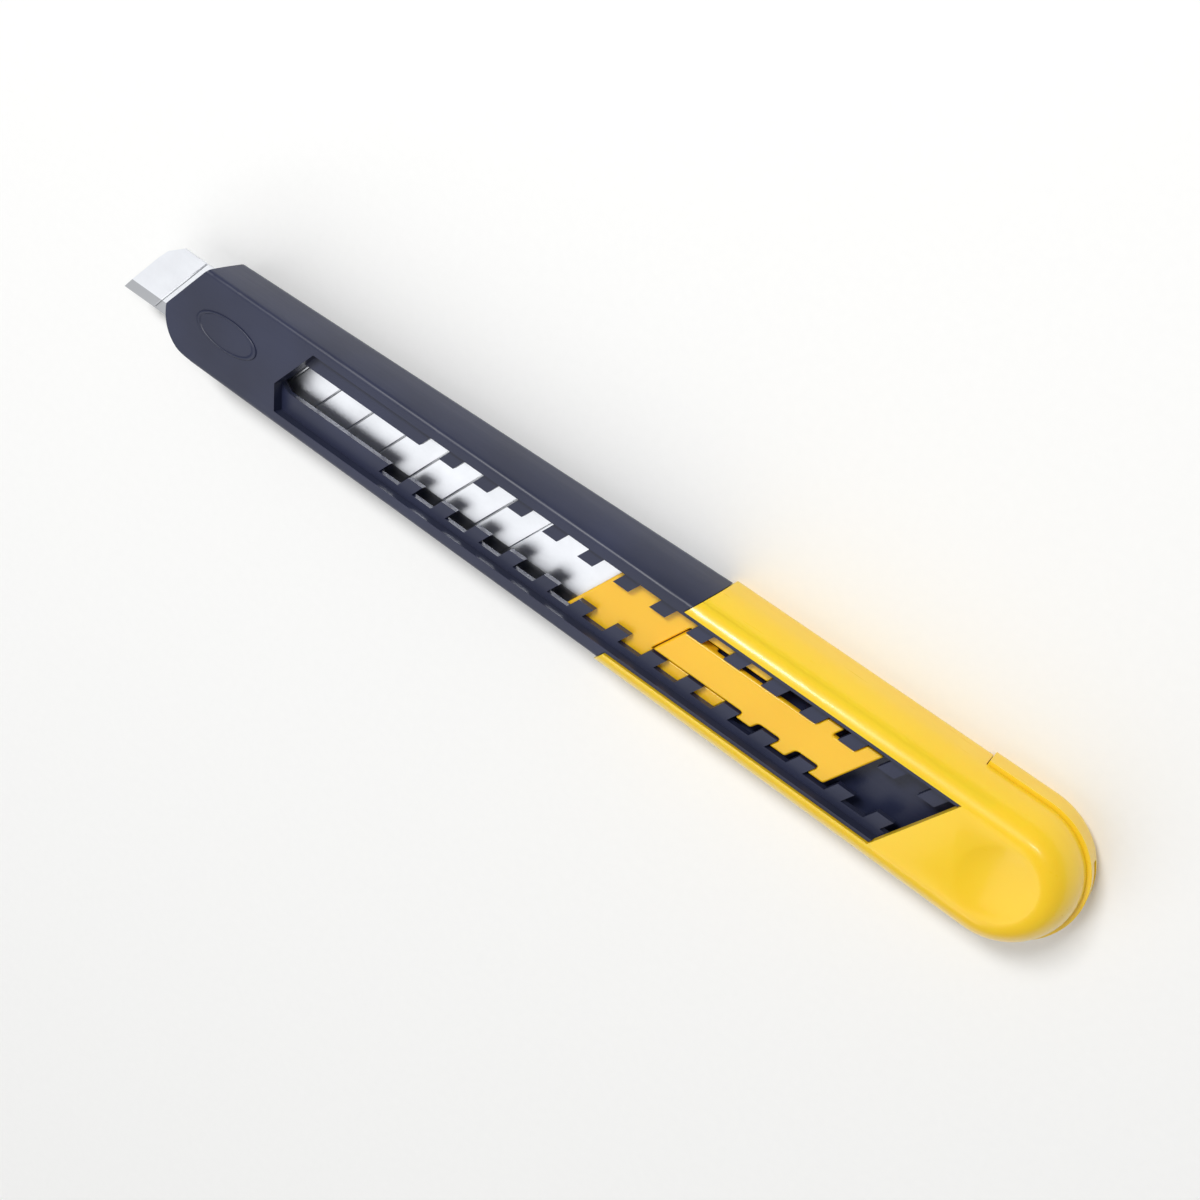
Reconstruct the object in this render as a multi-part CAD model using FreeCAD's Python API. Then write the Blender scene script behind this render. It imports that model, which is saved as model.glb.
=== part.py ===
"""Snap-off utility knife, 9 mm blade, lying on its back.

Millimetres. +X runs from the nose to the tail, +Y towards the blade's unsharpened back, +Z out of
the slotted face. While the parts are laid out, X is measured from the line where the foremost blade
segment would snap, on the blade's centreline. At the end everything moves along X, so that the
origin is in the middle of the whole knife, at the level of the back that it lies on.
"""
import FreeCAD, Part
import math
import os

V = FreeCAD.Vector

# ---- blade ----
BLADE_WIDTH = 9.0
BLADE_THICK = 0.4
BLADE_TOP_Z = 5.55
SEGMENT = 5.0             # from one score line to the next, and from notch to notch
SEGMENT_COUNT = 12
TANG_LENGTH = 20.0        # unscored rear end, with the carrier's hole
SLANT = 30.0              # degrees between a score line and a square cut
BEVEL_WIDTH = 1.5         # ground cutting bevel
BEVEL_LIP = 0.03          # half the thickness left at the cutting edge
TIP_CHAMFER_X = 2.3       # corner missing from the back of the foremost segment
TIP_CHAMFER_Y = 1.7
PEG_DIA = 3.0
PEG_CLEAR = 0.1
PEG_RECESS = 0.05         # the peg ends this far inside the blade's underside
PEG_FROM_TANG_END = 5.0

# ---- outer shape of the front half ----
FACE_Z = 9.2              # the slotted face
NOSE_X = 6.6              # foremost point of the nose
NOSE_LEAD_Y = -1.0        # where across the knife that point is
NOSE_WALL = 1.25          # beside the channel at the nose
SIDE_TAPER = 0.0221       # half width gained per millimetre towards the sleeve
CREASE_WALL = 1.1         # beside the channel, where the flat face turns into the side
CREASE_R = 0.7
CREASE_INSET = 0.1        # the crease is at least this far inside the side
SIDE_MID_Z = 4.2          # height of the widest point
NOSE_BACK_Z = 1.3         # the back rises this far at the nose
BACK_EDGE_R = 2.1
NOSE_ROUND = 5.5          # length of the round corner of the nose on the edge side
NOSE_ROUND_INSET = 0.35   # the round ends this far inside the side
NOSE_BEND_X = 0.26        # middle of the round, as shares of its length and its width
NOSE_BEND_Y = 0.62

# ---- slot, ledges and channel ----
CHANNEL_CLEAR = 0.2       # round the blade
SLOT_X = 25.0             # front end at the centreline
SLOT_CORNER_Y = 1.4       # the slot's front corner is cut back from here outwards
SLOT_CORNER_X = 1.3
THROAT_HALF = 2.15        # narrow part, between the ledges
LEDGE_TOP_Z = 7.7
LEDGE_THICK = 0.85
NOTCH_X = 43.9            # first notch in the ledges, at the centreline
NOTCH_WIDTH = 2.9
NOTCH_COUNT = 15
NOTCH_SHORT = 0.8         # the notches stop this far short of the slot's sides
NOTCH_WALL = 0.7          # left behind the last notch
NOSE_SLIT_X = 13.5        # the channel narrows to a slit from here to the nose

# ---- carrier and latch ----
CARRIER_AHEAD = 2.5       # from the peg to the carrier's front edge
CARRIER_LENGTH = 20.5
PLATE_CLEAR = 0.15        # under the ledges
ARM_BEHIND = 10.4         # from the carrier's front edge to the arm's hinge
ARM_CLEAR = 0.12
ARM_SIDE_CLEAR = 0.25
ARM_TOP_Z = 7.45          # its teeth are as high
ARM_UNDER_Z = 6.55
ROOT_LENGTH = 4.0
ROOT_CLEAR = 0.2          # above the blade
TOOTH_WIDTH = 2.1
TOOTH_LEAD = 0.3          # the teeth bear on the front of their notches
TOOTH_GAP = 0.3           # from a tooth's end to its notch's
SHORT_TOOTH_GAP = 0.7
TOOTH_NOTCHES = (11, 12)  # notches with a latch tooth on both sides
SHORT_TOOTH_NOTCH = 10    # notch with a short tooth on the edge side only

# ---- grip sleeve ----
SLEEVE_X = 77.9           # front edge at the centreline
SLEEVE_PROUD = 0.4        # step up from the front half
SLEEVE_FLARE = 0.274      # half width gained from the front edge to the tail
SHOULDER_HALF = 4.6       # where the grip's face starts to fall away
SLEEVE_WALL = 1.2
SLEEVE_FIT = 0.1
INNER_LIP = 6.0           # the part inside the sleeve reaches this far into the front half
INNER_EDGE_R = 1.2
WINDOW_BEHIND = 9.2       # from the latch's rear end to the window's, at the centreline
WINDOW_GAP = 0.5          # from the slot's side to the window's
BACK_FLAT = 0.05          # depth of the flat that the knife lies on
DIMPLE_R = 4.5
DIMPLE_DEPTH = 0.7

# ---- end cap ----
CAP_BEHIND = 2.5          # from the window's rear end to the cap's front edge
CAP_LENGTH = 15.6
CAP_TOP_Z = 4.4
CAP_PROUD = 0.5
CAP_FIT = 0.1
CAP_WALL = 2.2
TONGUE_LENGTH = 8.0       # ahead of the cap
TONGUE_HALF = 4.0
TONGUE_THICK = 1.5
TONGUE_Z = 2.2
CAVITY_CLEAR = 0.2        # between the channel's end and the tail's wall
SLIT_LENGTH = 5.5
SLIT_GAP = 0.7            # from the blade's edge to the slit's side
SLIT_THICK = 0.9

# ---- construction ----
FAR = 200.0               # longer than the knife
WIDE = 20.0               # more than its width and height
OVER = 3.0                # cutting shapes start this far outside
SINK = 1.0                # joined shapes run this far into each other
NICK = 0.1                # slots are cut this far past the ledges
SKIN = 0.01               # tolerance when edges are picked, and gap past a cut face

# ---- worked out ----
LEAN = math.tan(math.radians(SLANT))
BLADE_HALF = BLADE_WIDTH / 2
BLADE_UNDER_Z = BLADE_TOP_Z - BLADE_THICK
BLADE_REAR_X = SEGMENT * SEGMENT_COUNT + TANG_LENGTH - LEAN * BLADE_HALF
PEG_X = BLADE_REAR_X - PEG_FROM_TANG_END
CHANNEL_HALF = BLADE_HALF + CHANNEL_CLEAR
CHANNEL_FLOOR_Z = BLADE_UNDER_Z - CHANNEL_CLEAR
SLOT_HALF = BLADE_HALF    # wide part of the slot, from the face down to the ledges
LAST_NOTCH_X = NOTCH_X + SEGMENT * (NOTCH_COUNT - 1)
NOTCH_HALF = SLOT_HALF - NOTCH_SHORT
CHANNEL_END_X = LAST_NOTCH_X + NOTCH_WIDTH / 2 + LEAN * NOTCH_HALF + NOTCH_WALL
LEDGE_UNDER_Z = LEDGE_TOP_Z - LEDGE_THICK
PLATE_TOP_Z = LEDGE_UNDER_Z - PLATE_CLEAR
PLATE_HALF = CHANNEL_HALF - 1.5 * CHANNEL_CLEAR
CARRIER_X = PEG_X - CARRIER_AHEAD
ARM_X = CARRIER_X + ARM_BEHIND
ARM_REAR_X = NOTCH_X + SEGMENT * max(TOOTH_NOTCHES)
NOSE_HALF = CHANNEL_HALF + NOSE_WALL
CREASE_HALF = CHANNEL_HALF + CREASE_WALL
SLEEVE_HALF = NOSE_HALF + SIDE_TAPER * (SLEEVE_X - NOSE_X) + SLEEVE_PROUD
SLEEVE_TAIL_HALF = SLEEVE_HALF + SLEEVE_FLARE
SLEEVE_TOP_Z = FACE_Z + SLEEVE_PROUD
WINDOW_X = ARM_REAR_X + WINDOW_BEHIND
WINDOW_HALF = SLOT_HALF + WINDOW_GAP
CAP_X = WINDOW_X + CAP_BEHIND
TAIL_X = CAP_X + CAP_LENGTH
TAIL_CENTRE_X = TAIL_X - SLEEVE_TAIL_HALF
INNER_HALF = SLEEVE_HALF - SLEEVE_WALL - SLEEVE_FIT
INNER_TOP_Z = SLEEVE_TOP_Z - SLEEVE_WALL - SLEEVE_FIT
INNER_UNDER_Z = SLEEVE_WALL + SLEEVE_FIT


def prism(points, z0, z1):
    """A plan outline of straight edges, raised from z0 to z1."""
    ring = [V(x, y, z0) for x, y in points]
    return Part.Face(Part.makePolygon(ring + ring[:1])).extrude(V(0, 0, z1 - z0))


def slanted(x0, x1, y0, y1, z0, z1):
    """A bar across the knife with both ends leaning like the score lines; x0, x1 on the centreline."""
    return prism(
        [(x0 + LEAN * y0, y0), (x1 + LEAN * y0, y0), (x1 + LEAN * y1, y1), (x0 + LEAN * y1, y1)],
        z0, z1)


def box(x0, x1, y0, y1, z0, z1):
    return Part.makeBox(x1 - x0, y1 - y0, z1 - z0, V(x0, y0, z0))


def creased_side(half, top):
    """Side of the front half: an arc that is upright at the widest point and meets the face at a crease."""
    crease = min(CREASE_HALF, half - CREASE_INSET)
    inset = half - crease
    rise = top - SIDE_MID_Z
    radius = (inset * inset + rise * rise) / (2 * inset)
    turn = math.asin(rise / radius) / 2
    mid = V(half - radius + radius * math.cos(turn), SIDE_MID_Z + radius * math.sin(turn), 0)
    return Part.Arc(V(half, SIDE_MID_Z, 0), mid, V(crease, top, 0)).toShape()


def rounded_side(half, top):
    """Side of the grip: a quarter ellipse, upright at the widest point and level where it meets the face."""
    centre = V(SHOULDER_HALF, SIDE_MID_Z, 0)
    ends = [V(half, SIDE_MID_Z, 0), V(SHOULDER_HALF, top, 0)]
    minor, major = sorted(ends, key=lambda end: (end - centre).Length)
    return Part.ArcOfEllipse(Part.Ellipse(major, minor, centre), 0, math.pi / 2).toShape()


def half_outline(half, top, back, side):
    """Right-hand half of a cross-section in the XY plane.

    It runs across the back, round its edge, up the side and in to the middle.
    """
    corner = BACK_EDGE_R * math.sqrt(0.5)
    low = V(half - BACK_EDGE_R, back, 0)
    bend = V(half - BACK_EDGE_R + corner, back + BACK_EDGE_R - corner, 0)
    high = V(half, back + BACK_EDGE_R, 0)
    shoulder = side(half, top)
    ends = [v.Point for v in shoulder.Vertexes]
    inner = min(ends, key=lambda p: p.x)
    return [
        Part.LineSegment(V(0, back, 0), low).toShape(),
        Part.Arc(low, bend, high).toShape(),
        Part.LineSegment(high, V(half, SIDE_MID_Z, 0)).toShape(),
        shoulder,
        Part.LineSegment(inner, V(0, top, 0)).toShape()]


def stand_up(edges, x, mirrored):
    """Stand edges of the XY plane in the cross-section at x, on one side or mirrored to the other."""
    if mirrored:
        edges = [e.mirror(V(0, 0, 0), V(1, 0, 0)) for e in edges]
    upright = FreeCAD.Matrix(0, 0, 1, x, 1, 0, 0, 0, 0, 1, 0, 0, 0, 0, 0, 1)
    return [e.transformed(upright) for e in edges]


def section(x, half, top, back, side):
    """Whole cross-section at x, as one closed wire."""
    outline = half_outline(half, top, back, side)
    edges = stand_up(outline, x, False) + stand_up(outline, x, True)
    return Part.Wire(Part.__sortEdges__(edges))


def tail_dome(half, top, back):
    """The half section turned about the tail's upright axis: the round end of the handle."""
    edges = stand_up(half_outline(half, top, back, rounded_side), TAIL_CENTRE_X, True)
    edges.append(Part.LineSegment(V(TAIL_CENTRE_X, 0, top), V(TAIL_CENTRE_X, 0, back)).toShape())
    face = Part.Face(Part.Wire(Part.__sortEdges__(edges)))
    return face.revolve(V(TAIL_CENTRE_X, 0, 0), V(0, 0, 1), 180)


def front_shell(x):
    """Half width and back height of the front half at x."""
    along = (x - NOSE_X) / (SLEEVE_X - NOSE_X)
    back = NOSE_BACK_Z + (SLEEVE_PROUD - NOSE_BACK_Z) * along
    return NOSE_HALF + SIDE_TAPER * (x - NOSE_X), back


def nose_outline():
    """Plan of the nose: a leaning front edge and a large round on the edge side."""
    edge_y = -NOSE_HALF - OVER
    back_y = NOSE_HALF + OVER
    lead = V(NOSE_X, NOSE_LEAD_Y, 0)
    back = V(NOSE_X + LEAN * (back_y - NOSE_LEAD_Y), back_y, 0)
    side = V(NOSE_X + NOSE_ROUND, NOSE_ROUND_INSET - NOSE_HALF, 0)
    mid = V(NOSE_X + NOSE_BEND_X * NOSE_ROUND, NOSE_LEAD_Y + NOSE_BEND_Y * (side.y - NOSE_LEAD_Y), 0)
    flare = V(side.x + NOSE_ROUND, edge_y, 0)
    edges = [
        Part.LineSegment(back, lead).toShape(),
        Part.Arc(lead, mid, side).toShape(),
        Part.LineSegment(side, flare).toShape(),
        Part.LineSegment(flare, V(FAR, edge_y, 0)).toShape(),
        Part.LineSegment(V(FAR, edge_y, 0), V(FAR, back_y, 0)).toShape(),
        Part.LineSegment(V(FAR, back_y, 0), back).toShape()]
    return Part.Face(Part.Wire(edges)).extrude(V(0, 0, FACE_Z + OVER))


def body_channel():
    """Front half and the part inside the sleeve: one moulding with the blade's channel through it."""
    wires = []
    for x in (NOSE_X - OVER, SLEEVE_X + INNER_LIP):
        half, back = front_shell(x)
        wires.append(section(x, half, FACE_Z, back, creased_side))
    front = Part.makeLoft(wires, True, True)
    creases = [e for e in front.Edges if e.BoundBox.ZMin > FACE_Z - SKIN and e.BoundBox.XLength > SEGMENT
               and abs(e.BoundBox.YMin) > THROAT_HALF]
    front = front.makeFillet(CREASE_R, creases)
    front = front.common(nose_outline())
    front = front.cut(slanted(SLEEVE_X - SLEEVE_FIT, FAR, -WIDE, WIDE, -OVER, WIDE))
    lip = SLEEVE_X - INNER_LIP
    core = box(lip, CHANNEL_END_X, -INNER_HALF, INNER_HALF, INNER_UNDER_Z, INNER_TOP_Z)
    long_edges = [e for e in core.Edges if abs(e.Length - (CHANNEL_END_X - lip)) < SKIN]
    core = core.makeFillet(INNER_EDGE_R, long_edges)
    core = core.cut(box(CAP_X - CAP_FIT, FAR, -WIDE, WIDE, -OVER, CAP_TOP_Z + CAP_FIT))
    island = slanted(lip, WINDOW_X - SLEEVE_FIT, -(WINDOW_HALF - SLEEVE_FIT), WINDOW_HALF - SLEEVE_FIT,
                     INNER_TOP_Z - SINK, FACE_Z)
    body = front.fuse([core, island])
    cuts = [
        box(NOSE_SLIT_X, FAR, -CHANNEL_HALF, CHANNEL_HALF, CHANNEL_FLOOR_Z, LEDGE_UNDER_Z),
        box(0, FAR, -CHANNEL_HALF, CHANNEL_HALF, CHANNEL_FLOOR_Z, BLADE_TOP_Z + CHANNEL_CLEAR),
        slot_cut(SLOT_HALF, LEDGE_TOP_Z, WIDE),
        slot_cut(THROAT_HALF, LEDGE_UNDER_Z - NICK, WIDE),
        box(CAP_X - TONGUE_LENGTH - CAP_FIT, FAR, -TONGUE_HALF - CAP_FIT, TONGUE_HALF + CAP_FIT,
            TONGUE_Z - CAP_FIT, TONGUE_Z + TONGUE_THICK + CAP_FIT)]
    for k in range(NOTCH_COUNT):
        x = NOTCH_X + SEGMENT * k
        cuts.append(slanted(x - NOTCH_WIDTH / 2, x + NOTCH_WIDTH / 2, -NOTCH_HALF, NOTCH_HALF,
                            LEDGE_UNDER_Z - NICK, LEDGE_TOP_Z + NICK))
    return body.cut(cuts)


def slot_cut(half, z0, z1):
    """A slot whose front end leans, with its edge-side corner cut back, open to the rear."""
    y_turn = -min(half, SLOT_CORNER_Y)
    points = [(FAR, half), (SLOT_X + LEAN * half, half), (SLOT_X + LEAN * y_turn, y_turn)]
    if half > SLOT_CORNER_Y:
        points.append((SLOT_X + LEAN * y_turn + SLOT_CORNER_X, -half))
    points.append((FAR, -half))
    return prism(points, z0, z1)


def sleeve_shape(extra):
    """Outer form of the grip, from just ahead of the sleeve to the tail, grown by extra."""
    wires = [
        section(SLEEVE_X - 2 * OVER, SLEEVE_HALF + extra, SLEEVE_TOP_Z, -BACK_FLAT, rounded_side),
        section(TAIL_CENTRE_X, SLEEVE_TAIL_HALF + extra, SLEEVE_TOP_Z, -BACK_FLAT, rounded_side)]
    whole = Part.makeLoft(wires, True, True).fuse(
        tail_dome(SLEEVE_TAIL_HALF + extra, SLEEVE_TOP_Z, -BACK_FLAT))
    return whole.cut(box(-FAR, FAR, -WIDE, WIDE, -OVER, 0))


def grip_sleeve():
    """Sleeve over the rear half, with its window and the closed round tail."""
    outer = sleeve_shape(0)
    inner = INNER_HALF + SLEEVE_FIT
    cavity_end = CHANNEL_END_X + CAVITY_CLEAR
    tail_top = INNER_TOP_Z - DIMPLE_DEPTH
    cavity = box(0, cavity_end, -inner, inner, INNER_UNDER_Z - SLEEVE_FIT, INNER_TOP_Z + SLEEVE_FIT)
    room_under = CAP_TOP_Z - SINK
    tail_room = box(cavity_end - SINK, TAIL_CENTRE_X, -inner, inner, room_under, tail_top)
    tail_round = Part.makeCylinder(inner, tail_top - room_under, V(TAIL_CENTRE_X, 0, room_under))
    window = slanted(0, WINDOW_X, -WINDOW_HALF, WINDOW_HALF, INNER_TOP_Z - SINK, WIDE)
    cap_room = box(CAP_X - CAP_FIT, FAR, -WIDE, WIDE, -OVER, CAP_TOP_Z + CAP_FIT)
    ball_r = (DIMPLE_R ** 2 + DIMPLE_DEPTH ** 2) / (2 * DIMPLE_DEPTH)
    dimple = Part.makeSphere(ball_r, V(TAIL_CENTRE_X, 0, SLEEVE_TOP_Z + ball_r - DIMPLE_DEPTH))
    front_cut = slanted(-FAR, SLEEVE_X, -WIDE, WIDE, -OVER, WIDE)
    return outer.cut([front_cut, cavity, tail_room, tail_round, window, cap_room, dimple])


def end_cap():
    """Pull-off cap under the tail, with its tongue and the slit that snaps a segment."""
    outer = sleeve_shape(CAP_PROUD)
    cap = outer.common(box(CAP_X, FAR, -WIDE, WIDE, -OVER, CAP_TOP_Z))
    room = SLEEVE_TAIL_HALF - CAP_WALL
    slit_half = BLADE_HALF + SLIT_GAP
    hollow = [box(CAP_X - SINK, TAIL_CENTRE_X, -room, room, TONGUE_Z + TONGUE_THICK, WIDE),
              Part.makeCylinder(room, WIDE, V(TAIL_CENTRE_X, 0, TONGUE_Z + TONGUE_THICK))]
    slit = box(TAIL_X - SLIT_LENGTH, FAR, -slit_half, slit_half, TONGUE_Z, TONGUE_Z + SLIT_THICK)
    tongue = box(CAP_X - TONGUE_LENGTH, CAP_X + SINK, -TONGUE_HALF, TONGUE_HALF,
                 TONGUE_Z, TONGUE_Z + TONGUE_THICK)
    return cap.cut(hollow).cut(slit).fuse(tongue)


def blade_strip(x0, x1):
    """A length of blade between two leaning cuts, with the cutting bevel ground on both faces."""
    strip = slanted(x0, x1, -BLADE_HALF, BLADE_HALF, BLADE_UNDER_Z, BLADE_TOP_Z)
    outside = -BLADE_HALF - NICK
    inside = BEVEL_WIDTH - BLADE_HALF
    middle = (BLADE_TOP_Z + BLADE_UNDER_Z) / 2
    cuts = []
    for z, sign in ((BLADE_TOP_Z, 1), (BLADE_UNDER_Z, -1)):
        ring = [V(-WIDE, outside, middle + sign * BEVEL_LIP), V(-WIDE, inside, z),
                V(-WIDE, inside, z + sign), V(-WIDE, outside, z + sign)]
        cuts.append(Part.Face(Part.makePolygon(ring + ring[:1])).extrude(V(FAR, 0, 0)))
    return strip.cut(cuts)


def blade_segments():
    """The snap-off segments, foremost first."""
    out = []
    for k in range(SEGMENT_COUNT):
        piece = blade_strip(SEGMENT * k, SEGMENT * (k + 1))
        if k == 0:
            x = LEAN * BLADE_HALF
            corner = [(x - LEAN * TIP_CHAMFER_Y - SKIN, BLADE_HALF - TIP_CHAMFER_Y),
                      (x + TIP_CHAMFER_X, BLADE_HALF + SKIN), (x - OVER, BLADE_HALF + SKIN)]
            piece = piece.cut(prism(corner, 0, WIDE))
        out.append(piece)
    return out


def blade_tang():
    """Unscored rear end of the blade, squared off, with the hole for the carrier's peg."""
    start = SEGMENT * SEGMENT_COUNT
    tang = blade_strip(start, start + 2 * TANG_LENGTH)
    hole = Part.makeCylinder(PEG_DIA / 2 + PEG_CLEAR, WIDE, V(PEG_X, 0, 0))
    return tang.cut([box(BLADE_REAR_X, FAR, -WIDE, WIDE, -OVER, WIDE), hole])


def blade_carrier():
    """Plate on the blade's tang with two wings beside the sprung arm, and the peg through the tang."""
    plate = slanted(CARRIER_X, ARM_X - ARM_CLEAR, -PLATE_HALF, PLATE_HALF, BLADE_TOP_Z, PLATE_TOP_Z)
    parts = []
    inside = THROAT_HALF + ARM_SIDE_CLEAR
    for y0, y1 in ((-PLATE_HALF, -inside), (inside, PLATE_HALF)):
        parts.append(slanted(ARM_X - SINK, CARRIER_X + CARRIER_LENGTH, y0, y1, BLADE_TOP_Z, PLATE_TOP_Z))
    peg_height = BLADE_THICK - PEG_RECESS + SINK
    parts.append(Part.makeCylinder(PEG_DIA / 2, peg_height, V(PEG_X, 0, BLADE_UNDER_Z + PEG_RECESS)))
    return plate.fuse(parts)


def thumb_latch():
    """Sprung arm that the thumb presses, with the teeth that stand in the ledges' notches."""
    half = THROAT_HALF - ARM_CLEAR
    arm = slanted(ARM_X, ARM_REAR_X, -half, half, ARM_UNDER_Z, ARM_TOP_Z)
    root = slanted(ARM_X, ARM_X + ROOT_LENGTH, -half, half, BLADE_TOP_Z + ROOT_CLEAR, ARM_UNDER_Z)
    parts = [root]
    reach = NOTCH_HALF - TOOTH_GAP
    teeth = [(n, reach, reach) for n in TOOTH_NOTCHES]
    teeth.append((SHORT_TOOTH_NOTCH, NOTCH_HALF - SHORT_TOOTH_GAP, 0))
    for n, edge_reach, back_reach in teeth:
        x = NOTCH_X + SEGMENT * n - TOOTH_LEAD
        parts.append(slanted(x - TOOTH_WIDTH / 2, x + TOOTH_WIDTH / 2, -edge_reach, back_reach,
                             ARM_UNDER_Z, ARM_TOP_Z))
    return arm.fuse(parts)


os.makedirs("parts", exist_ok=True)
nodes = {
    "body_channel": body_channel(),
    "grip_sleeve": grip_sleeve(),
    "end_cap": end_cap(),
    "blade_carrier": blade_carrier(),
    "thumb_latch": thumb_latch(),
    "blade_tang": blade_tang(),
}
for number, piece in enumerate(blade_segments(), 1):
    nodes["blade_segment_%02d" % number] = piece
front_x = -LEAN * BLADE_HALF
rear_x = TAIL_X + CAP_PROUD
shift = V(-(front_x + rear_x) / 2, 0, 0)
for name, shape in nodes.items():
    shape.translate(shift)
    shape = shape.removeSplitter()
    shape.exportStep("parts/" + name + ".step")
    b = shape.BoundBox
    print(name, "solids", len(shape.Solids), "valid", shape.isValid(), "volume", round(shape.Volume, 1),
          [round(c, 2) for c in (b.XMin, b.YMin, b.ZMin, b.XMax, b.YMax, b.ZMax)])
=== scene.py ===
"""Looks of the snap-off utility knife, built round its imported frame.

Metres, +X from nose to tail, +Z out of the slotted face.
"""

import math

import bmesh
import bpy
import numpy as np
from mathutils import Matrix, Vector


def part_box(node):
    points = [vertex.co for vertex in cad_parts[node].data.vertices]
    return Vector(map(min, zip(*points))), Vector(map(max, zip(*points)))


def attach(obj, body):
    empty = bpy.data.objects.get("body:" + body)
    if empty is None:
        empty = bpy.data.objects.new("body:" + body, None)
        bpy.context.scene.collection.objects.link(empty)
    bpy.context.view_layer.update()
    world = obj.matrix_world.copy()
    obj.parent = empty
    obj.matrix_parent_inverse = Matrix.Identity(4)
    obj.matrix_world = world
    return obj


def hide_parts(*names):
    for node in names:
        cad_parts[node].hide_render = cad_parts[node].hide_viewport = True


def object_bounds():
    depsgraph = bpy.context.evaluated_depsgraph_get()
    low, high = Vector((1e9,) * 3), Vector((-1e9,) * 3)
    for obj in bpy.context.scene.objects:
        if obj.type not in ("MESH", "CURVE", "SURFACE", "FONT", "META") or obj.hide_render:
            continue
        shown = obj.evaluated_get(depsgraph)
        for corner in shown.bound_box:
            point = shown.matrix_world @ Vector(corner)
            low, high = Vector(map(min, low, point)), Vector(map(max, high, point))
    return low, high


bl_info = {
    "name": "Snap-off Utility Knife",
    "version": (1, 0, 0),
    "blender": (4, 5, 0),
    "location": "View3D > Sidebar > Knife",
    "description": "Builds the visible pieces and finishes of a slim snap-off utility knife",
    "category": "Add Mesh",
}

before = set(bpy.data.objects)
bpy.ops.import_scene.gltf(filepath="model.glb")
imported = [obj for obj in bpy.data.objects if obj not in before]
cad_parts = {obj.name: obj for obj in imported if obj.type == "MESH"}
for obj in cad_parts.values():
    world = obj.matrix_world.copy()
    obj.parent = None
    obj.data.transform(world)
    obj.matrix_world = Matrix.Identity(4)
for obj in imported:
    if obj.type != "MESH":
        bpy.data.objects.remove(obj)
CAD_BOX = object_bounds()
MM = 0.001
LEAN = math.tan(math.radians(30.0))     # the score lines lean this much from a square cut

SHARP = math.radians(32.0)              # edges sharper than this are rounded
WELD = 0.002 * MM
FLAT = math.radians(0.6)                # triangles this close to one plane become one face
SHADING_ATTRIBUTES = ("custom_normal", "sharp_edge", "sharp_face")

OVAL_FROM_NOSE = 9.3 * MM               # from the body's foremost point to the oval's middle
OVAL_OFF_MIDDLE = 0.15 * MM
OVAL_SLIMNESS = 0.42                    # width as a share of length
OVAL_RIM_AT = 0.925                     # middle and half width of the rim, as shares of the radius
OVAL_RIM_HALF = 0.078
OVAL_RIM_HEIGHT = 0.2 * MM
OVAL_FLOOR_TO = 0.85
OVAL_FLOOR = 0.05                       # mm, and the swell of the dome over it
OVAL_SWELL = 0.06
OVAL_SUNK = 0.05 * MM                   # the outer edge lies this far under the face
OVAL_STEPS = 72

EDGE_STEP = 0.25 * MM                   # first station of the bevel from the cutting edge
BEVEL_BLUR = 0.02 * MM                  # the darker bevel, partly ground finish and partly painted shade, fades over this, either side of its edge
BEVEL_LIP = 0.03 * MM                   # half thickness left at the cutting edge
TIP_CUT_ACROSS = 1.7 * MM               # width of the corner missing from the foremost segment
TIP_CUT_SLOPE = 1.35
NO_VEE = 10.0                           # a distance past any score line
TANG_EDGE = 0.04 * MM

FLOOR_REACH = 3.0
LAMPS = (                               # name, place, size, power
    ("key", (-0.16, 0.34, 0.53), (0.24, 0.12), 2.5),
    ("sheen", (-0.20, -0.31, 0.58), (0.7, 0.6), 1.35),
    ("rim", (-0.20, -0.70, 0.36), (0.8, 0.16), 0.7),
    ("glint", (0.18, 0.30, 0.48), (0.12, 0.04), 0.35),
)
WORLD_STRENGTH = 0.26
EYE = Vector((54.32, 84.56, 169.30)) * MM
AHEAD = Vector((-0.2520, -0.4514, -0.8560))
UPWARDS = (-0.5597, 0.7896, -0.2516)
LENS = 51.13

BLADE_NODES = ["blade_segment_%02d" % n for n in range(1, 13)] + ["blade_tang"]


# ---------------------------------------------------------------- settings

class KnifeSizes(bpy.types.PropertyGroup):
    """Sizes that only the looks have; every other size comes from the frame."""
    plastic_edge: bpy.props.FloatProperty(
        name="Moulded edge", description="Radius of the outer moulded edges", default=0.18 * MM,
        min=0.0, unit="LENGTH")
    cap_edge: bpy.props.FloatProperty(
        name="Cap edge", description="Radius of the end cap's edges", default=0.32 * MM,
        min=0.0, unit="LENGTH")
    slider_edge: bpy.props.FloatProperty(
        name="Slider edge", description="Radius of the slider's edges", default=0.3 * MM,
        min=0.0, unit="LENGTH")
    score_depth: bpy.props.FloatProperty(
        name="Score depth", description="Depth of the blade's score lines", default=0.07 * MM,
        min=0.0, unit="LENGTH")
    score_width: bpy.props.FloatProperty(
        name="Score width", description="Width of a score line at the surface", default=0.34 * MM,
        min=0.0, unit="LENGTH")
    bevel_width: bpy.props.FloatProperty(
        name="Cutting bevel", description="Width of the ground cutting bevel", default=1.5 * MM,
        min=0.0, unit="LENGTH")
    emblem_length: bpy.props.FloatProperty(
        name="Emblem length", description="Length of the plain raised oval on the nose",
        default=9.5 * MM, min=0.0, unit="LENGTH")


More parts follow.
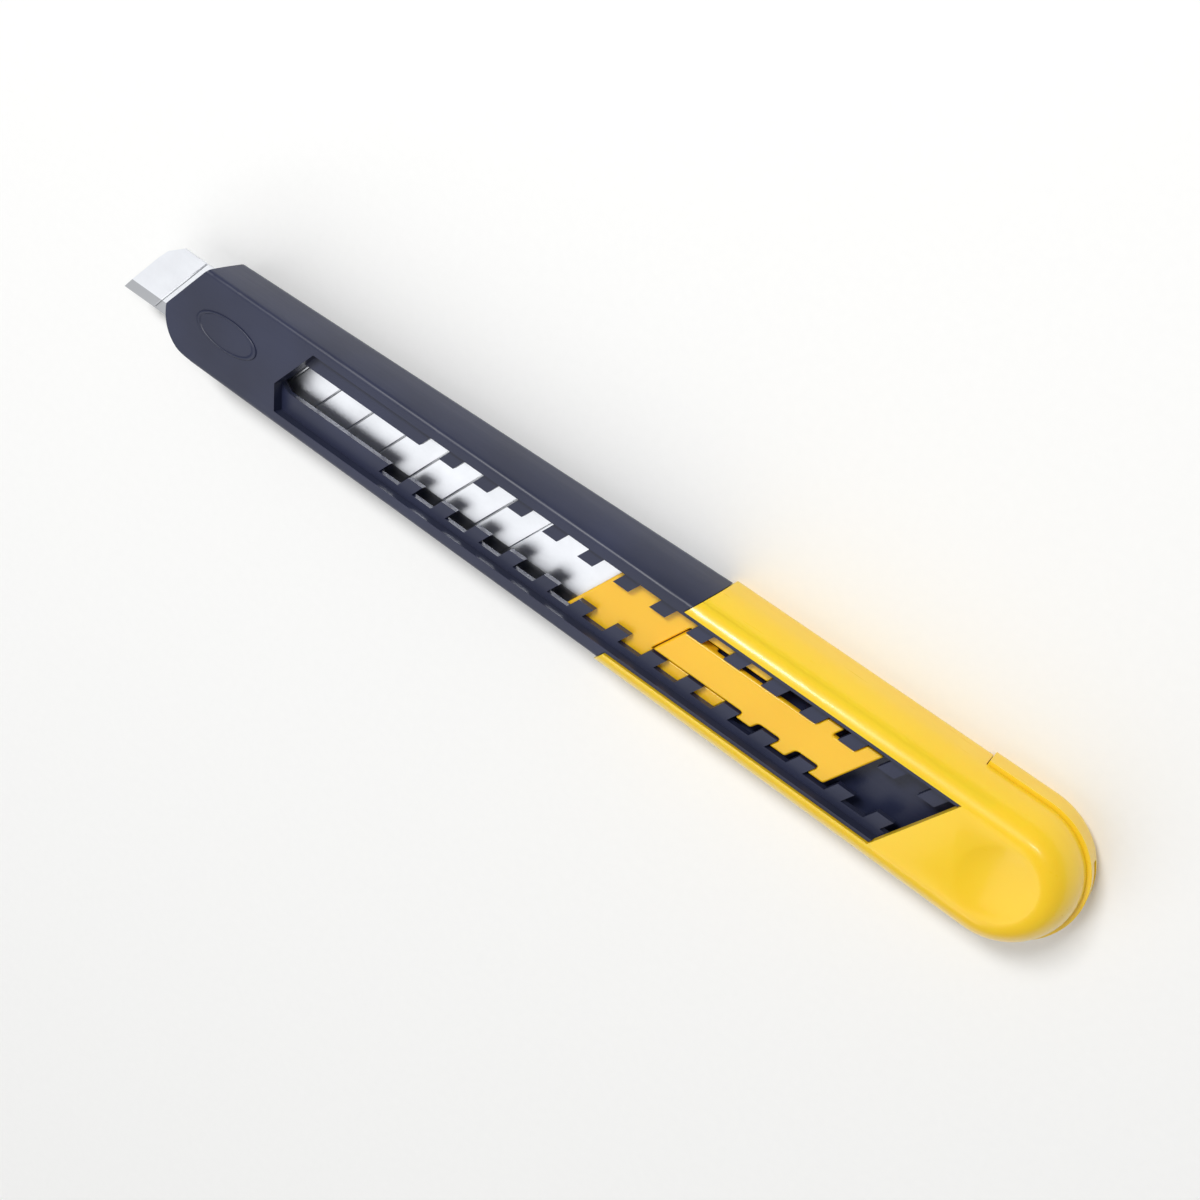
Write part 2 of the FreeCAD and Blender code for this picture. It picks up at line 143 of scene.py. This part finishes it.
class KnifeColours(bpy.types.PropertyGroup):
    """Base colours of the finishes."""
    body: bpy.props.FloatVectorProperty(
        name="Body", description="Indigo-black moulded plastic", subtype="COLOR", size=3,
        default=(0.018, 0.023, 0.056), min=0.0, max=1.0)
    grip: bpy.props.FloatVectorProperty(
        name="Grip", description="Warm yellow moulded plastic", subtype="COLOR", size=3,
        default=(1.0, 0.63, 0.016), min=0.0, max=1.0)
    slider: bpy.props.FloatVectorProperty(
        name="Slider", description="Yellow plastic of the slider", subtype="COLOR", size=3,
        default=(1.0, 0.54, 0.012), min=0.0, max=1.0)
    steel: bpy.props.FloatVectorProperty(
        name="Steel", description="Ground blade steel", subtype="COLOR", size=3,
        default=(0.82, 0.84, 0.88), min=0.0, max=1.0)
    floor: bpy.props.FloatVectorProperty(
        name="Floor", description="Pale studio floor", subtype="COLOR", size=3,
        default=(0.93, 0.93, 0.92), min=0.0, max=1.0)


# ---------------------------------------------------------------- node helpers

def new_material(name):
    """An empty node material with its shader, and helpers bound to its tree."""
    material = bpy.data.materials.new(name)
    material.use_nodes = True
    tree = material.node_tree
    tree.nodes.clear()
    out = tree.nodes.new("ShaderNodeOutputMaterial")
    shader = tree.nodes.new("ShaderNodeBsdfPrincipled")
    tree.links.new(shader.outputs["BSDF"], out.inputs["Surface"])
    return material, tree, shader


def node(tree, kind, inputs=None, **settings):
    """A node with its settings and its unlinked input values."""
    made = tree.nodes.new(kind)
    for key, value in settings.items():
        setattr(made, key, value)
    for key, value in (inputs or {}).items():
        if isinstance(value, bpy.types.NodeSocket):
            tree.links.new(value, made.inputs[key])
        else:
            made.inputs[key].default_value = value
    return made


def object_point(tree, scale=(1.0, 1.0, 1.0)):
    """Object coordinates, stretched along each axis."""
    where = node(tree, "ShaderNodeTexCoord")
    return node(tree, "ShaderNodeMapping",
                {"Vector": where.outputs["Object"], "Scale": scale}).outputs["Vector"]


def noise(tree, point, scale, detail=3.0, rough=0.55):
    return node(tree, "ShaderNodeTexNoise",
                {"Vector": point, "Scale": scale, "Detail": detail, "Roughness": rough}).outputs["Fac"]


def span(tree, value, low, high):
    """Maps a 0.3 to 0.7 noise on low to high."""
    return node(tree, "ShaderNodeMapRange",
                {"Value": value, "From Min": 0.3, "From Max": 0.7, "To Min": low, "To Max": high}
                ).outputs["Result"]


def tint(tree, share, dark, light):
    """Colour between dark and light by share."""
    mix = node(tree, "ShaderNodeMix", data_type="RGBA")
    tree.links.new(share, mix.inputs["Factor"])
    mix.inputs["A"].default_value = (*dark, 1.0)
    mix.inputs["B"].default_value = (*light, 1.0)
    return mix.outputs["Result"]


def bump(tree, height, strength, distance, below=None):
    made = node(tree, "ShaderNodeBump", {"Height": height, "Strength": strength, "Distance": distance})
    if below is not None:
        tree.links.new(below, made.inputs["Normal"])
    return made.outputs["Normal"]


def shade(colour, factor):
    return tuple(min(1.0, c * factor) for c in colour)


# ---------------------------------------------------------------- finishes

def moulded_plastic(name, colour, dark, light, rough, grain, coat, scatter=0.0):
    """Injection-moulded plastic: slow colour drift, fine grain, rub marks that run lengthwise."""
    material, tree, shader = new_material(name)
    still = object_point(tree)
    drift = noise(tree, still, 90.0, 2.0)
    shade_mix = tint(tree, span(tree, drift, 0.0, 1.0), shade(colour, dark), shade(colour, light))
    tree.links.new(shade_mix, shader.inputs["Base Color"])
    rubbed = noise(tree, object_point(tree, (0.06, 1.0, 1.0)), 2600.0, 4.0, 0.6)
    tree.links.new(span(tree, rubbed, rough - 0.03, rough + 0.03), shader.inputs["Roughness"])
    fine = noise(tree, still, 5200.0, 2.0, 0.5)
    wave = noise(tree, still, 260.0, 1.0, 0.4)
    soft = bump(tree, wave, 0.05, 0.00006)
    tree.links.new(bump(tree, fine, grain, 0.00001, soft), shader.inputs["Normal"])
    shader.inputs["IOR"].default_value = 1.5
    shader.inputs["Coat Weight"].default_value = coat
    shader.inputs["Coat Roughness"].default_value = 0.12
    if scatter:
        shader.inputs["Subsurface Weight"].default_value = scatter
        shader.inputs["Subsurface Radius"].default_value = (1.0, 0.55, 0.12)
        shader.inputs["Subsurface Scale"].default_value = 0.0012
    return material


def blade_steel(colour, bevel_width):
    """Strip steel: lines rolled along it, faint stains, and a bevel with lines ground across, coloured
    darker: partly its ground finish, partly painted shade.
    """
    material, tree, shader = new_material("blade_steel")
    place = node(tree, "ShaderNodeTexCoord").outputs["Object"]
    across = node(tree, "ShaderNodeSeparateXYZ", {"Vector": place}).outputs["Y"]
    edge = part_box(BLADE_NODES[0])[0].y + bevel_width
    bevel = node(tree, "ShaderNodeMapRange",
                 {"Value": across, "From Min": edge - BEVEL_BLUR, "From Max": edge + BEVEL_BLUR,
                  "To Min": 1.0, "To Max": 0.0}).outputs["Result"]
    rolled = noise(tree, object_point(tree, (0.02, 1.0, 1.0)), 9000.0, 3.0, 0.6)
    ground = noise(tree, object_point(tree, (1.0, 0.03, 1.0)), 12000.0, 3.0, 0.6)
    lines = node(tree, "ShaderNodeMix", data_type="FLOAT")
    tree.links.new(bevel, lines.inputs["Factor"])
    tree.links.new(rolled, lines.inputs["A"])
    tree.links.new(ground, lines.inputs["B"])
    cloud = noise(tree, object_point(tree), 160.0, 4.0, 0.6)
    flat = tint(tree, span(tree, cloud, 0.0, 1.0), shade(colour, 0.93), shade(colour, 1.05))
    # painted shade: the bevel's base colour is the steel darkened to 0.55, partly for its ground finish
    # and partly for the shade and dark reflection it lies in
    mix = node(tree, "ShaderNodeMix", data_type="RGBA")
    tree.links.new(bevel, mix.inputs["Factor"])
    tree.links.new(flat, mix.inputs["A"])
    mix.inputs["B"].default_value = (*shade(colour, 0.55), 1.0)
    tree.links.new(mix.outputs["Result"], shader.inputs["Base Color"])
    tree.links.new(span(tree, lines.outputs["Result"], 0.33, 0.38), shader.inputs["Roughness"])
    tree.links.new(bump(tree, lines.outputs["Result"], 0.03, 0.000002), shader.inputs["Normal"])
    shader.inputs["Metallic"].default_value = 1.0
    return material


def studio_paper(colour):
    """Matt studio card with a barely visible tooth."""
    material, tree, shader = new_material("studio_paper")
    tooth = noise(tree, object_point(tree), 900.0, 3.0)
    paper = tint(tree, span(tree, tooth, 0.0, 1.0), shade(colour, 0.99), colour)
    tree.links.new(paper, shader.inputs["Base Color"])
    shader.inputs["Roughness"].default_value = 0.9
    shader.inputs["Specular IOR Level"].default_value = 0.2
    return material


# ---------------------------------------------------------------- mesh helpers

def piece_from(name, points, faces, material, body, smooth_angle=30.0):
    """A mesh object from arrays, at the origin, with its finish, riding on its body."""
    mesh = bpy.data.meshes.new(name)
    mesh.from_pydata(points.tolist(), [], faces.tolist() if hasattr(faces, "tolist") else faces)
    mesh.validate()
    mesh.materials.append(material)
    made = bpy.data.objects.new(name, mesh)
    bpy.context.scene.collection.objects.link(made)
    mesh.shade_smooth()
    mesh.set_sharp_from_angle(angle=math.radians(smooth_angle))
    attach(made, body)
    return made


def grid_faces(rows, columns, closed):
    """Quads of a grid of rows by columns, closed on itself along the columns if asked."""
    across = np.arange(columns if closed else columns - 1)
    along = np.arange(rows - 1)
    i, j = np.meshgrid(along, across, indexing="ij")
    k = (j + 1) % columns
    quads = np.stack([i * columns + j, i * columns + k, (i + 1) * columns + k, (i + 1) * columns + j], -1)
    return quads.reshape(-1, 4)


def eased_copy(name, node_name, material, body, edge, segments=3):
    """A moulded copy of a frame part whose edges are rounded.

    The part's loose triangles are welded, flat fields of triangles are joined to one face each, and
    every edge sharper than SHARP gets a round of the edge's radius with hardened normals.
    """
    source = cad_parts[node_name]
    mesh = source.data.copy()
    mesh.name = name
    mesh.materials.clear()
    mesh.materials.append(material)
    made = bpy.data.objects.new(name, mesh)
    bpy.context.scene.collection.objects.link(made)
    stale = [a.name for a in mesh.attributes if a.name in SHADING_ATTRIBUTES]
    for attribute in stale:
        mesh.attributes.remove(mesh.attributes[attribute])
    work = bmesh.new()
    work.from_mesh(mesh)
    bmesh.ops.remove_doubles(work, verts=work.verts, dist=WELD)
    bmesh.ops.dissolve_limit(work, angle_limit=FLAT, verts=work.verts, edges=work.edges)
    work.to_mesh(mesh)
    work.free()
    mesh.shade_smooth()
    mesh.set_sharp_from_angle(angle=SHARP)
    rounding = made.modifiers.new("edges", "BEVEL")
    rounding.width = edge
    rounding.segments = segments
    rounding.limit_method = "ANGLE"
    rounding.angle_limit = SHARP
    rounding.use_clamp_overlap = True
    rounding.harden_normals = True
    rounding.miter_outer = "MITER_ARC"
    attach(made, body)
    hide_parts(node_name)
    return made


def oval_surface(length):
    """A plain raised oval: rings of an ellipse that shrink inwards, with a round rim and a low dome.

    For a ring at share r of the oval's radius, the height is zero at the edge, rises over the rim as
    the square root of a circle, drops to a floor inside it, and swells to a low dome in the middle.
    """
    low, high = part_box("body_channel")
    centre = np.array([low.x + OVAL_FROM_NOSE, OVAL_OFF_MIDDLE, high.z])
    rings = np.array([1.0, 0.985, 0.96, 0.93, 0.90, 0.87, 0.845, 0.82, 0.70, 0.5, 0.3, 0.12])
    across_rim = (rings - OVAL_RIM_AT) / OVAL_RIM_HALF
    rim = np.sqrt(np.clip(1.0 - across_rim ** 2, 0.0, 1.0)) * OVAL_RIM_HEIGHT
    dome = np.where(rings < OVAL_FLOOR_TO, OVAL_FLOOR + OVAL_SWELL * (1.0 - rings ** 2), 0.0) * MM
    height = np.maximum(rim, dome)
    height[0] = -OVAL_SUNK
    turn = np.linspace(0.0, 2 * math.pi, OVAL_STEPS, endpoint=False)
    x = centre[0] + length / 2 * rings[:, None] * np.cos(turn)[None, :]
    y = centre[1] + length * OVAL_SLIMNESS / 2 * rings[:, None] * np.sin(turn)[None, :]
    z = np.broadcast_to(centre[2] + height[:, None], x.shape)
    crown = (OVAL_FLOOR + OVAL_SWELL) * MM
    poles = centre + np.array([[0.0, 0.0, crown], [0.0, 0.0, -OVAL_SUNK]])
    points = np.concatenate([np.stack([x, y, z], -1).reshape(-1, 3), poles])
    ring = np.arange(OVAL_STEPS)
    after = (ring + 1) % OVAL_STEPS
    inner = (len(rings) - 1) * OVAL_STEPS
    over = np.full(OVAL_STEPS, len(points) - 2)
    top = np.stack([inner + ring, inner + after, over], -1)
    under = np.stack([after, ring, over + 1], -1)
    quads = grid_faces(len(rings), OVAL_STEPS, True)
    return points, quads.tolist() + top.tolist() + under.tolist()


# ---------------------------------------------------------------- operators

class KNIFE_OT_body(bpy.types.Operator):
    """Channel body with its notched slot, and the plain oval on its nose"""
    bl_idname = "knife.body"
    bl_label = "Channel body"

    def execute(self, context):
        sizes, colours = context.scene.knife_sizes, context.scene.knife_colours
        plastic = moulded_plastic("body_plastic", tuple(colours.body), dark=0.85, light=1.2,
                                  rough=0.40, grain=0.15, coat=0.0)
        eased_copy("body_moulding", "body_channel", plastic, "handle", sizes.plastic_edge)
        points, quads = oval_surface(sizes.emblem_length)
        piece_from("nose_oval", points, quads, plastic, "handle", smooth_angle=40.0)
        return {"FINISHED"}


class KNIFE_OT_grip(bpy.types.Operator):
    """Grip sleeve and the end cap under its tail"""
    bl_idname = "knife.grip"
    bl_label = "Grip sleeve and end cap"

    def execute(self, context):
        sizes, colours = context.scene.knife_sizes, context.scene.knife_colours
        plastic = moulded_plastic("grip_plastic", tuple(colours.grip), dark=0.98, light=1.02,
                                  rough=0.30, grain=0.05, coat=0.3, scatter=0.25)
        eased_copy("grip_moulding", "grip_sleeve", plastic, "handle", sizes.plastic_edge)
        eased_copy("end_cap_moulding", "end_cap", plastic, "cap", sizes.cap_edge)
        return {"FINISHED"}


class KNIFE_OT_slider(bpy.types.Operator):
    """Blade carrier and the sprung thumb latch"""
    bl_idname = "knife.slider"
    bl_label = "Slider"

    def execute(self, context):
        sizes, colours = context.scene.knife_sizes, context.scene.knife_colours
        plastic = moulded_plastic("slider_plastic", tuple(colours.slider), dark=0.96, light=1.04,
                                  rough=0.32, grain=0.05, coat=0.25, scatter=0.25)
        eased_copy("carrier_moulding", "blade_carrier", plastic, "carrier",
                   sizes.slider_edge)
        eased_copy("latch_moulding", "thumb_latch", plastic, "latch", sizes.slider_edge)
        return {"FINISHED"}


def segment_surface(name, sizes, front):
    """Corner points and quads of one snap-off segment, as a closed slab.

    The grid runs along the blade (s, from the front score line to the rear one) and across it (t,
    from the cutting edge to the back). Every station of s leans with the score lines: x is s plus
    the lean times t. The half thickness is the full one, less half a vee at each score line (depth
    times one minus the distance over half the vee's width), less the cutting bevel, which falls in a
    straight line from the bevel's inner edge to a thin lip. The foremost segment has no vee in
    front, and its back corner is cut off: there the stations of s start further back as t rises.
    """
    low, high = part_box(name)
    half = (high.y - low.y) / 2
    middle_y = (high.y + low.y) / 2
    middle_z = (high.z + low.z) / 2
    thick = (high.z - low.z) / 2
    pitch = high.x - low.x - 2 * LEAN * half
    start = low.x + LEAN * half
    vee = sizes.score_width / 2
    near = np.linspace(0.0, vee / pitch, 3)
    share = np.concatenate([near, 1.0 - near[::-1]])
    t = np.unique(np.concatenate([
        [-half, -half + EDGE_STEP, -half + sizes.bevel_width, half],
        np.linspace(-half + sizes.bevel_width, half, 6)]))
    past_corner = np.clip(t - (half - TIP_CUT_ACROSS), 0.0, None) * (TIP_CUT_SLOPE - LEAN)
    first = start + past_corner * front
    s = first[None, :] + (start + pitch - first)[None, :] * share[:, None]
    x = s + LEAN * t[None, :]
    to_rear = (start + pitch - s) / vee
    to_front = (s - start) / vee + NO_VEE * front
    fall = sizes.score_depth * np.clip(1.0 - np.minimum(to_rear, to_front), 0.0, 1.0)
    ground = np.clip((t + half) / sizes.bevel_width, 0.0, 1.0)
    full = BEVEL_LIP + (thick - BEVEL_LIP) * ground
    z = np.minimum(thick - fall, full[None, :])
    y = np.broadcast_to(middle_y + t[None, :], x.shape)
    top = np.stack([x, y, middle_z + z], -1)
    under = np.stack([x, y, middle_z - z], -1)
    rows, columns = x.shape
    points = np.concatenate([top.reshape(-1, 3), under.reshape(-1, 3)])
    quads = grid_faces(rows, columns, False)
    count = rows * columns
    rim = np.concatenate([
        np.arange(columns), np.arange(1, rows) * columns + columns - 1,
        (rows - 1) * columns + np.arange(columns - 2, -1, -1), np.arange(rows - 2, 0, -1) * columns])
    after = np.roll(rim, -1)
    wall = np.stack([after, rim, rim + count, after + count], -1)
    return points, np.concatenate([quads, quads[:, ::-1] + count, wall])


class KNIFE_OT_blade(bpy.types.Operator):
    """Snap-off segments and tang of the blade"""
    bl_idname = "knife.blade"
    bl_label = "Blade"

    def execute(self, context):
        sizes = context.scene.knife_sizes
        steel = blade_steel(tuple(context.scene.knife_colours.steel), sizes.bevel_width)
        for number, name in enumerate(BLADE_NODES[:-1], 1):
            points, quads = segment_surface(name, sizes, number == 1)
            made = piece_from("steel_segment_%02d" % number, points, quads, steel, "carrier",
                              smooth_angle=4.0)
            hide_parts(name)
        eased_copy("steel_tang", BLADE_NODES[-1], steel, "carrier", TANG_EDGE, segments=1)
        return {"FINISHED"}


def aim(thing, eye, target, up):
    """Turns a camera or lamp at eye to look at target with up upwards in its view."""
    back = (Vector(eye) - Vector(target)).normalized()
    right = Vector(up).cross(back).normalized()
    above = back.cross(right)
    thing.matrix_world = Matrix((
        (right.x, above.x, back.x, eye[0]),
        (right.y, above.y, back.y, eye[1]),
        (right.z, above.z, back.z, eye[2]),
        (0, 0, 0, 1)))


def lamp(name, eye, target, size, power):
    """A rectangular soft lamp at eye, aimed at target."""
    data = bpy.data.lights.new(name, "AREA")
    data.shape = "RECTANGLE"
    data.size, data.size_y = size
    data.energy = power
    made = bpy.data.objects.new(name, data)
    bpy.context.scene.collection.objects.link(made)
    aim(made, eye, target, (0.0, 1.0, 0.01))


class KNIFE_OT_stage(bpy.types.Operator):
    """Pale floor, soft studio lamps and the camera"""
    bl_idname = "knife.stage"
    bl_label = "Studio"

    def execute(self, context):
        low, high = CAD_BOX
        paper = studio_paper(tuple(context.scene.knife_colours.floor))
        corners = [(-1, -1), (1, -1), (1, 1), (-1, 1)]
        points = [(x * FLOOR_REACH, y * FLOOR_REACH, low.z) for x, y in corners]
        mesh = bpy.data.meshes.new("floor")
        mesh.from_pydata(points, [], [(0, 1, 2, 3)])
        mesh.materials.append(paper)
        floor = bpy.data.objects.new("floor", mesh)
        context.scene.collection.objects.link(floor)

        middle = (0.0, 0.0, high.z)
        for name, place, size, power in LAMPS:
            lamp(name, place, middle, size, power)
        world = bpy.data.worlds.new("studio")
        world.use_nodes = True
        sky = world.node_tree.nodes["Background"]
        sky.inputs["Color"].default_value = (1.0, 1.0, 1.0, 1.0)
        sky.inputs["Strength"].default_value = WORLD_STRENGTH
        context.scene.world = world
        context.scene.view_settings.view_transform = "Standard"

        camera = bpy.data.objects.new("camera", bpy.data.cameras.new("camera"))
        context.scene.collection.objects.link(camera)
        camera.data.sensor_width = 36.0
        camera.data.lens = LENS
        camera.data.clip_start = 0.01
        aim(camera, EYE, EYE + AHEAD, UPWARDS)
        context.scene.camera = camera
        return {"FINISHED"}


class KNIFE_PT_panel(bpy.types.Panel):
    """Buttons that build the knife, and the values that they use"""
    bl_idname = "KNIFE_PT_panel"
    bl_label = "Utility knife"
    bl_space_type = "VIEW_3D"
    bl_region_type = "UI"
    bl_category = "Knife"

    def draw(self, context):
        for group in (context.scene.knife_sizes, context.scene.knife_colours):
            for name in group.bl_rna.properties.keys():
                if name not in ("rna_type", "name"):
                    self.layout.prop(group, name)
        for operator in OPERATORS:
            self.layout.operator(operator.bl_idname)


OPERATORS = (KNIFE_OT_stage, KNIFE_OT_body, KNIFE_OT_grip, KNIFE_OT_slider, KNIFE_OT_blade)
CLASSES = (KnifeSizes, KnifeColours, *OPERATORS, KNIFE_PT_panel)


def register():
    for each in CLASSES:
        bpy.utils.register_class(each)
    bpy.types.Scene.knife_sizes = bpy.props.PointerProperty(type=KnifeSizes)
    bpy.types.Scene.knife_colours = bpy.props.PointerProperty(type=KnifeColours)


def unregister():
    del bpy.types.Scene.knife_colours
    del bpy.types.Scene.knife_sizes
    for each in reversed(CLASSES):
        bpy.utils.unregister_class(each)


def main():
    """Builds everything in order."""
    register()
    bpy.ops.knife.stage()
    bpy.ops.knife.body()
    bpy.ops.knife.grip()
    bpy.ops.knife.slider()
    bpy.ops.knife.blade()


if __name__ == "__main__":
    main()
